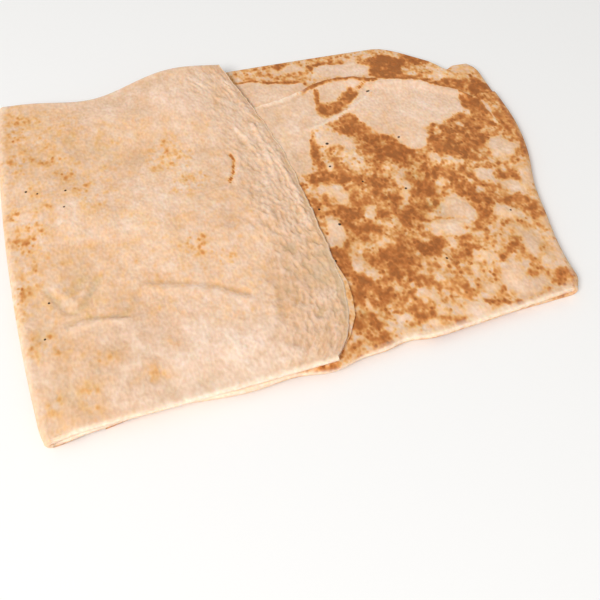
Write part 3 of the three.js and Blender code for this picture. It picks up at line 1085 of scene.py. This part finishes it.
# %% Lay out the map
bake_map = sheet.loops.layers.uv.new("OFBake")
for face in sheet.faces:
    sides = sides_of(face)
    for loop in face.loops:
        vert = loop.vert
        u = mix(MAP_MARGIN, 1 - MAP_MARGIN, map_share(ALONG, vert[line_along]))
        v = map_share(ACROSS, vert[line_across])
        if sides == {False}:
            v = mix(OUTER_HEIGHT + MAP_MARGIN, 1 - MAP_MARGIN, v)
        else:
            v = mix(MAP_MARGIN, OUTER_HEIGHT - MAP_MARGIN, v)
        if len(sides) == 2 and vert[out_from_middle] < 0:
            u += outward(vert[line_along], LAST_ALONG)
            v += outward(vert[line_across], LAST_ACROSS)
        loop[bake_map].uv = (u, v)
print("map", bake_map.name, "on", len(sheet.faces), "faces")

# %% [markdown]
# The finished mesh
#
# Smooth shading hides the facets, but across the rim's thin wall it would smear the light round
# the edge. A bevel there would cost thousands of faces. Marking the edges where the wall meets the
# two faces as sharp keeps a crisp rim for nothing. The mesh is already in the frame's place, so
# its object stays at the origin.

# %% Smooth faces and sharp rims
for face in sheet.faces:
    face.smooth = True
for edge in sheet.edges:
    on_wall = {len(sides_of(face)) == 2 for face in edge.link_faces}
    edge.smooth = len(on_wall) == 1
print(sum(not edge.smooth for edge in sheet.edges), "sharp edges round the rim")

# %% Make the object
mesh = bpy.data.meshes.new("markook_bread")
sheet.to_mesh(mesh)
sheet.free()
for name in ("line_along", "line_across", "out_from_middle"):
    mesh.attributes.remove(mesh.attributes[name])
bread = bpy.data.objects.new("markook_bread", mesh)
bpy.context.scene.collection.objects.link(bread)
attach(bread, "root")
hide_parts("bread")
mesh.calc_loop_triangles()
print("markook_bread:", len(mesh.loop_triangles), "triangles")

# %% [markdown]
# Saj-baked wheat dough
#
# The dough has a dry, matt, slightly floury skin. It is pale peach where it stayed raw, golden at
# the edge of each toasted patch, then orange brown, then the reddish brown of toast. Painting each
# colour would be slow. One colour ramp over the browning gives them in the right order, so every
# patch gets its golden edge by itself. First come a few helpers.


# %% Colours, and scales of textures
def linear(hex_colour):
    """A colour written as sRGB hex, in Blender's linear light."""
    channels = [int(hex_colour[i : i + 2], 16) / 255 for i in (1, 3, 5)]
    light = [c / 12.92 if c <= 0.04045 else ((c + 0.055) / 1.055) ** 2.4 for c in channels]
    return (*light, 1)


def per_size(millimetres):
    """The scale of a texture whose features are this large."""
    return 1 / (millimetres * MM)


print("middle grey is", round(linear("#808080")[0], 3), "in linear light")


# %% Nodes and materials
def add_node(tree, kind, inputs=None, **settings):
    """Adds a node. Its inputs are values, or sockets to link from."""
    made = tree.nodes.new(kind)
    for name, value in settings.items():
        setattr(made, name, value)
    for name, value in (inputs or {}).items():
        if isinstance(value, bpy.types.NodeSocket):
            tree.links.new(value, made.inputs[name])
        else:
            made.inputs[name].default_value = value
    return made


def new_material(name):
    """An empty material, its node tree and its shader."""
    material = bpy.data.materials.new(name)
    material.use_nodes = True
    tree = material.node_tree
    tree.nodes.clear()
    shader = add_node(tree, "ShaderNodeBsdfPrincipled")
    output = add_node(tree, "ShaderNodeOutputMaterial")
    tree.links.new(shader.outputs["BSDF"], output.inputs["Surface"])
    return material, tree, shader


# Matt and dry, so the eye sees colour and fine bumps and hardly any gloss.
dough, tree, shader = new_material("saj_baked_wheat_dough")
print("material", dough.name)

# %% [markdown]
# Blotches, flecks and freckles
#
# Toasting is uneven at every size: blotches a centimetre wide, patches, flecks, and round freckles
# where a small blister touched the iron. One noise with much detail would give all sizes alike.
# Separate noises, each with the size that it has on the bread, can be strong on brown dough and
# weak on pale dough. A Voronoi texture makes the freckles: each cell holds one, and the cell's
# random colour says whether it is there.

# %% Coordinates, stored numbers and noises
CLOUD, BLOTCH, PATCH, FLECK, GRAIN = 26.0, 9.0, 4.5, 2.4, 1.4  # sizes in millimetres
DETAIL = {CLOUD: 2, BLOTCH: 2, PATCH: 1, FLECK: 1, GRAIN: 0}  # finer layers on each noise
NOISE_ROUGHNESS = 0.6  # how strong those finer layers are

place = add_node(tree, "ShaderNodeTexCoord").outputs["Object"]
stretched = add_node(
    tree, "ShaderNodeVectorMath", {0: place, 1: (1, STRETCH, 1)}, operation="MULTIPLY"
).outputs[0]
stored = {
    name: add_node(tree, "ShaderNodeAttribute", attribute_name=name).outputs["Fac"]
    for name in ("browning", "crest", "hollow")
}
noises = {}
for size, detail in DETAIL.items():
    inputs = {"Vector": stretched, "Scale": per_size(size), "Detail": detail}
    inputs["Roughness"] = NOISE_ROUGHNESS
    noises[size] = add_node(tree, "ShaderNodeTexNoise", inputs).outputs["Fac"]
print("noises of", sorted(noises), "mm")

# %% Uneven browning
UNEVEN = [  # size of a noise, and its strength on pale dough and on brown
    (BLOTCH, 0.22, 0.5),
    (PATCH, 0.20, 1.0),
    (FLECK, 0.14, 1.1),
]
PALE_TONE, BROWN_TONE = 0.16, 0.4  # the browning that counts as pale, and as brown

tone = stored["browning"]
for size, on_pale, on_brown in UNEVEN:
    span = {"From Min": PALE_TONE, "From Max": BROWN_TONE, "To Min": on_pale, "To Max": on_brown}
    strength = add_node(
        tree, "ShaderNodeMapRange", {"Value": stored["browning"], **span}
    ).outputs["Result"]
    uneven = add_node(
        tree, "ShaderNodeMath", {0: noises[size], 1: 0.5}, operation="SUBTRACT"
    ).outputs[0]
    tone = add_node(
        tree, "ShaderNodeMath", {0: uneven, 1: strength, 2: tone}, operation="MULTIPLY_ADD"
    ).outputs[0]
print(len(UNEVEN), "noises in the browning")

# %% Freckles
# A row is how much browner its freckles are, the dough's browning where they start to show and
# where they show in full, the size of a cell in millimetres, the shares of that where a freckle
# ends and where it is full, and the random numbers where cells start to have one and where they
# have a full one.
FRECKLES = [
    (0.27, (0.14, 0.28), 3.4, (0.40, 0.13), (0.34, 0.50)),
    (0.31, (0.17, 0.34), 2.1, (0.42, 0.16), (0.42, 0.52)),
]

for browner, tones, cell, reach, odds in FRECKLES:
    cells = add_node(
        tree, "ShaderNodeTexVoronoi", {"Vector": stretched, "Scale": per_size(cell)}
    ).outputs
    spans = [(stored["browning"], tones), (cells["Distance"], reach), (cells["Color"], odds)]
    freckle = browner
    for source, (start, end) in spans:
        share = add_node(
            tree, "ShaderNodeMapRange", {"Value": source, "From Min": start, "From Max": end}
        ).outputs["Result"]
        freckle = add_node(
            tree, "ShaderNodeMath", {0: freckle, 1: share}, operation="MULTIPLY"
        ).outputs[0]
    tone = add_node(tree, "ShaderNodeMath", {0: tone, 1: freckle}, operation="ADD").outputs[0]
print(len(FRECKLES), "layers of freckles")

# %% From browning to colour
DOUGH_RAMP = [
    (0.00, "#F7D6BC"),
    (0.12, "#EEC9AA"),
    (0.24, "#F1C49B"),
    (0.34, "#F0BE88"),
    (0.43, "#EAAE70"),
    (0.53, "#DE9B59"),
    (0.65, "#D0874A"),
    (0.79, "#C1763B"),
    (1.00, "#A96733"),
]
HOLLOW_PAINTED_SHADE = 0.05  # painted shade: browning gained for each millimetre of a hollow, and lost on raised places

tone = add_node(
    tree,
    "ShaderNodeMath",
    {0: stored["hollow"], 1: HOLLOW_PAINTED_SHADE, 2: tone},
    operation="MULTIPLY_ADD",
).outputs[0]
ramp = add_node(tree, "ShaderNodeValToRGB", {"Fac": tone})
while len(ramp.color_ramp.elements) < len(DOUGH_RAMP):
    ramp.color_ramp.elements.new(1)
for element, (position, hex_colour) in zip(ramp.color_ramp.elements, DOUGH_RAMP):
    element.position = position
    element.color = linear(hex_colour)
print("ramp of", len(DOUGH_RAMP), "colours")

# %% [markdown]
# Pale crests, hollows and grain
#
# Stretched folds, thin rims and ridges are cream, partly the dough's own pale colour and partly a
# painted highlight. Hollows get a painted shade and raised places a painted highlight, and the
# dough's bran shows as a fine grain. More stops on the ramp can't do this, because it isn't
# browning. So cream is mixed in where the crest is high, and the rest is a multiplied shade. A plain
# grey shade looks like dirt on bread, so a darker shade is also a warmer one.

# %% Cream on the crests
# cream on the crests: partly the dough's own pale colour, partly a painted highlight
CREST = "#FFE9D2"
CREST_SHARE = 0.85

crest_share = add_node(
    tree, "ShaderNodeMath", {0: stored["crest"], 1: CREST_SHARE}, operation="MULTIPLY"
).outputs[0]
colour = add_node(
    tree,
    "ShaderNodeMix",
    {"Factor": crest_share, 6: ramp.outputs["Color"], 7: linear(CREST)},
    data_type="RGBA",
).outputs[2]
print("crests up to", CREST_SHARE, "of", CREST)

# %% Warm shades
SHADES = [  # what the shade follows, two values of it, and the shade at each
    (noises[GRAIN], (0.3, 0.7), (0.96, 1.04)),
    (noises[FLECK], (0.3, 0.7), (0.97, 1.03)),
    (noises[CLOUD], (0.3, 0.7), (0.96, 1.04)),
    # painted shade in hollows, and a painted highlight on raised places
    (stored["hollow"], (-0.4, 0.4), (1.04, 0.92)),
]
GREEN_FALL, BLUE_FALL = 1.6, 2.3  # how much faster than red these get darker


def warm(shade):
    """A shade of grey that gets warmer as it gets darker."""
    return (shade, shade**GREEN_FALL, shade**BLUE_FALL, 1)


for source, (start, end), (first, last) in SHADES:
    share = add_node(
        tree, "ShaderNodeMapRange", {"Value": source, "From Min": start, "From Max": end}
    ).outputs["Result"]
    shade = add_node(
        tree, "ShaderNodeMix", {"Factor": share, 6: warm(first), 7: warm(last)}, data_type="RGBA"
    ).outputs[2]
    colour = add_node(
        tree,
        "ShaderNodeMix",
        {"Factor": 1.0, 6: colour, 7: shade},
        data_type="RGBA",
        blend_type="MULTIPLY",
    ).outputs[2]
print(len(SHADES), "warm shades")

# %% [markdown]
# Charred dots
#
# Where a crumb of flour burnt, there is a dot of black about a millimetre wide. The mesh is too
# coarse to hold such small marks on its vertices, and a random texture would put them anywhere. So
# each dot is the distance to one place, with a soft edge.

# %% Dots of black
CHAR = "#3A2618"
FLATTEN = (1, 1, 0.2)  # heights count less, because the skin is uneven
BASE_TOP, FLAP_TOP = 6.6, 9.6  # heights of the two faces
CHAR_DOTS = {  # x, y and half the width of each dot, for each height
    BASE_TOP: [
        (31, 25, 1.1), (27, 9, 0.8), (67, 18, 0.8), (19, -28, 1.0), (10, -48, 0.8), (13, -16, 0.8),
        (39, -5, 0.7), (57, -16, 0.8), (58, -62, 0.8), (98, -45, 0.7), (65, 57, 1.2),
    ],
    FLAP_TOP: [
        (-117, 34, 0.8), (-112, 31, 0.7), (-99, 29, 0.8), (-101, 18, 0.7), (-115, -35, 0.7),
        (-119, -53, 0.7),
    ],
}
CHAR_CORE = 0.5  # share of a dot that is fully black

flat_place = add_node(
    tree, "ShaderNodeVectorMath", {0: place, 1: FLATTEN}, operation="MULTIPLY"
).outputs[0]
dots = [(x, y, height, size) for height, row in CHAR_DOTS.items() for x, y, size in row]
for x, y, height, size in dots:
    dot = (Vector((x, y, height)) + BRUSH_ZERO) * MM + to_frame
    reach = add_node(
        tree, "ShaderNodeVectorMath", {0: flat_place, 1: dot * Vector(FLATTEN)}, operation="DISTANCE"
    ).outputs["Value"]
    inside = add_node(
        tree,
        "ShaderNodeMapRange",
        {"Value": reach, "From Min": size * MM, "From Max": CHAR_CORE * size * MM},
        interpolation_type="SMOOTHSTEP",
    ).outputs["Result"]
    colour = add_node(
        tree, "ShaderNodeMix", {"Factor": inside, 6: colour, 7: linear(CHAR)}, data_type="RGBA"
    ).outputs[2]
print(len(dots), "charred dots")

# %% [markdown]
# The dough's surface
#
# Dough scatters light: a little goes in, and comes out again redder and further on. Without that
# it would look like plaster, so the shader has some subsurface light. Toast is a little smoother
# than raw flour, and the finest bumps are left to a Bump node, which reuses the noises of the
# browning.

# %% Roughness, bumps and light from inside
FLOURY, TOASTED = 0.9, 0.72  # roughness of pale dough, and of the darkest
GLOSS = 0.25  # half of the shader's usual value
BUMP = 0.5  # height of the bumps, in millimetres
BUMP_STRENGTH = 0.7
BUMP_SHARE = 0.5  # the small bumps are lower than the large ones
INSIDE_LIGHT = 0.3  # share of the light that comes from inside the dough
INSIDE_REACH = 1.2  # how far it goes there, in millimetres
INSIDE_COLOURS = (1.0, 0.5, 0.25)  # red goes furthest

roughness = add_node(
    tree, "ShaderNodeMapRange", {"Value": tone, "To Min": FLOURY, "To Max": TOASTED}
).outputs["Result"]
bumps = noises[PATCH]
for size in (FLECK, GRAIN):
    bumps = add_node(
        tree, "ShaderNodeMath", {0: noises[size], 1: BUMP_SHARE, 2: bumps}, operation="MULTIPLY_ADD"
    ).outputs[0]
normal = add_node(
    tree, "ShaderNodeBump", {"Height": bumps, "Strength": BUMP_STRENGTH, "Distance": BUMP * MM}
).outputs["Normal"]
for socket, source in (("Base Color", colour), ("Roughness", roughness), ("Normal", normal)):
    tree.links.new(source, shader.inputs[socket])
shader.inputs["Specular IOR Level"].default_value = GLOSS
shader.inputs["Subsurface Weight"].default_value = INSIDE_LIGHT
shader.inputs["Subsurface Radius"].default_value = INSIDE_COLOURS
shader.inputs["Subsurface Scale"].default_value = INSIDE_REACH * MM
bread.data.materials.append(dough)
print("dough:", len(tree.nodes), "nodes")

# %% [markdown]
# Floor
#
# The bread lies on a plain white surface. A shadow catcher would leave out the light that such a
# surface throws back under the folds, so it is a real floor, large enough to have no edge in view.

# %% White floor
FLOOR_HALF = 3  # metres
PAPER_WHITE = "#FAF9F7"
PAPER_ROUGHNESS = 0.9

floor_mesh = bpy.data.meshes.new("white_floor")
floor_shape = bmesh.new()
bmesh.ops.create_grid(floor_shape, x_segments=1, y_segments=1, size=FLOOR_HALF)
floor_shape.to_mesh(floor_mesh)
floor_shape.free()
floor = bpy.data.objects.new("white_floor", floor_mesh)
bpy.context.scene.collection.objects.link(floor)
# Matt, so the eye sees soft shadows on it and no reflection.
paper, _, paper_shader = new_material("matt_white_paper")
paper_shader.inputs["Base Color"].default_value = linear(PAPER_WHITE)
paper_shader.inputs["Roughness"].default_value = PAPER_ROUGHNESS
floor_mesh.materials.append(paper)
print("floor", [round(size, 1) for size in floor.dimensions])

# %% [markdown]
# Light
#
# The light is soft. A sun lamp would draw hard shadows, and surroundings alone would hide the
# wrinkles. One large lamp to the front left draws them out, and white surroundings fill the
# shadows. The Standard view keeps the colours as they were written.

# %% Lamp and surroundings
LAMP_WATTS, LAMP_SIZE = 29, 0.8
LAMP_PLACE = Vector((-1.1, -1.0, 1.35))  # metres
ROOM_LIGHT = 0.5

lamp = bpy.data.lights.new("soft_box", "AREA")
lamp.energy = LAMP_WATTS
lamp.size = LAMP_SIZE
soft_box = bpy.data.objects.new("soft_box", lamp)
soft_box.location = LAMP_PLACE
soft_box.rotation_euler = LAMP_PLACE.to_track_quat("Z", "Y").to_euler()
bpy.context.scene.collection.objects.link(soft_box)
world = bpy.data.worlds.new("white_room")
world.use_nodes = True
background = world.node_tree.nodes["Background"]
background.inputs["Color"].default_value = linear("#FFFFFF")
background.inputs["Strength"].default_value = ROOM_LIGHT
bpy.context.scene.world = world
bpy.context.scene.view_settings.view_transform = "Standard"
print("lamp", round(LAMP_PLACE.length, 2), "m away")

# %% [markdown]
# Camera
#
# The camera looks down at the packet from the front, a little from the left, and so close that the
# near corner looks larger. Its place could be typed in, but two angles and a distance from the
# point that it looks at say better what it does.

# %% Angles, distance and lens
AZIMUTH, ELEVATION = math.radians(-17.8), math.radians(53.57)
DISTANCE = 0.3536  # metres
LENS, SENSOR = 48, 36  # millimetres
NEAREST = 0.01  # metres, nothing closer is drawn
LOOKS_AT = Vector((-10.5, -59.5, 0))  # millimetres from the packet's middle

target = (LOOKS_AT + BRUSH_ZERO) * MM + to_frame
level = math.cos(ELEVATION)
towards = (math.sin(AZIMUTH) * level, -math.cos(AZIMUTH) * level, math.sin(ELEVATION))
camera = bpy.data.objects.new("camera", bpy.data.cameras.new("camera"))
camera.data.lens = LENS
camera.data.sensor_width = SENSOR
camera.data.clip_start = NEAREST
camera.location = target + Vector(towards) * DISTANCE
camera.rotation_euler = Vector(towards).to_track_quat("Z", "Y").to_euler()
bpy.context.scene.collection.objects.link(camera)
bpy.context.scene.camera = camera
print("camera at", tuple(round(c, 3) for c in camera.location))
